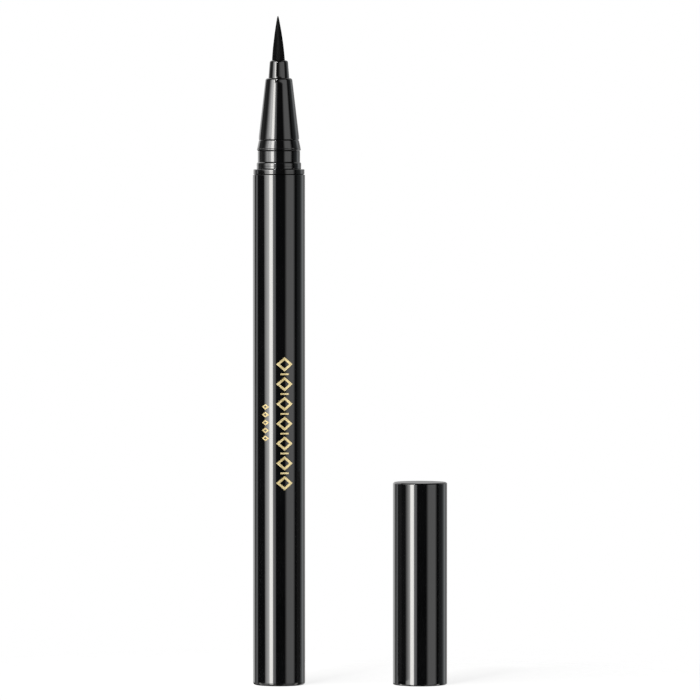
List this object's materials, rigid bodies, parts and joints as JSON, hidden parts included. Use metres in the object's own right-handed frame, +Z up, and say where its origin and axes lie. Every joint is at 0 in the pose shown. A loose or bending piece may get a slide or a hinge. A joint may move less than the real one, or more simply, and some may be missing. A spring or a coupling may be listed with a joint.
{
  "type": "liquid eyeliner pen",
  "caption": "Slim round liquid eyeliner pen with a fine pointed brush tip on a stepped nose, standing on its tail beside its pull-off cap.",
  "frame": {"origin": "centre of the pen's flat foot, on the surface that the pen and its cap stand on", "axes": "+Z up along the pen, from its foot to the brush's point; +X from the pen towards the cap beside it"},
  "size_m": [0.0372, 0.0104, 0.1281],
  "materials": {
    "black_lacquer": "high-gloss black lacquer on a drawn aluminium sleeve",
    "black_gloss_plastic": "polished moulded black plastic",
    "black_bristle": "fine black nylon bristles, fused at the root",
    "natural_plastic": "uncoloured, slightly milky moulded plastic",
    "black_satin_plastic": "satin moulded black plastic",
    "seal_rubber": "soft smooth elastomer",
    "bright_steel": "bright stainless steel",
    "ink_fibre": "ink-soaked fibre rod"
  },
  "bodies": {
    "pen": {"barrel_shell": "black_lacquer", "tail_cap": "black_gloss_plastic", "tank_plug": "natural_plastic", "ink_tank": "natural_plastic", "front_coupling": "black_gloss_plastic", "tank_seal": "seal_rubber", "collector": "natural_plastic", "feed_core": "ink_fibre", "relay_tube": "bright_steel", "nose_cone": "black_gloss_plastic", "brush_retainer": "natural_plastic", "tip_ferrule": "black_gloss_plastic", "brush_tip": "black_bristle"},
    "cap": {"cap_shell": "black_lacquer", "cap_liner": "black_satin_plastic", "cap_spring": "bright_steel"},
    "inner_cap_unit": {"inner_cap": "black_satin_plastic", "inner_cap_seal": "seal_rubber"},
    "ball_left": {"mixing_ball_left": "bright_steel"},
    "ball_right": {"mixing_ball_right": "bright_steel"}
  },
  "joints": [
    {"name": "cap_lift", "type": "slide", "parent": "pen", "child": "cap", "axis": [0, 0, 1], "range_m": [0, 0.13]},
    {"name": "inner_cap_press", "type": "slide", "parent": "cap", "child": "inner_cap_unit", "axis": [0, 0, 1], "range_m": [0, 0.002], "stiffness_N_per_m": 160, "springref_m": -0.003, "deforming": ["cap_spring"]},
    {"name": "ball_left_travel", "type": "slide", "parent": "pen", "child": "ball_left", "axis": [0, 0, 1], "range_m": [0, 0.054]},
    {"name": "ball_right_travel", "type": "slide", "parent": "pen", "child": "ball_right", "axis": [0, 0, 1], "range_m": [0, 0.054]}
  ]
}
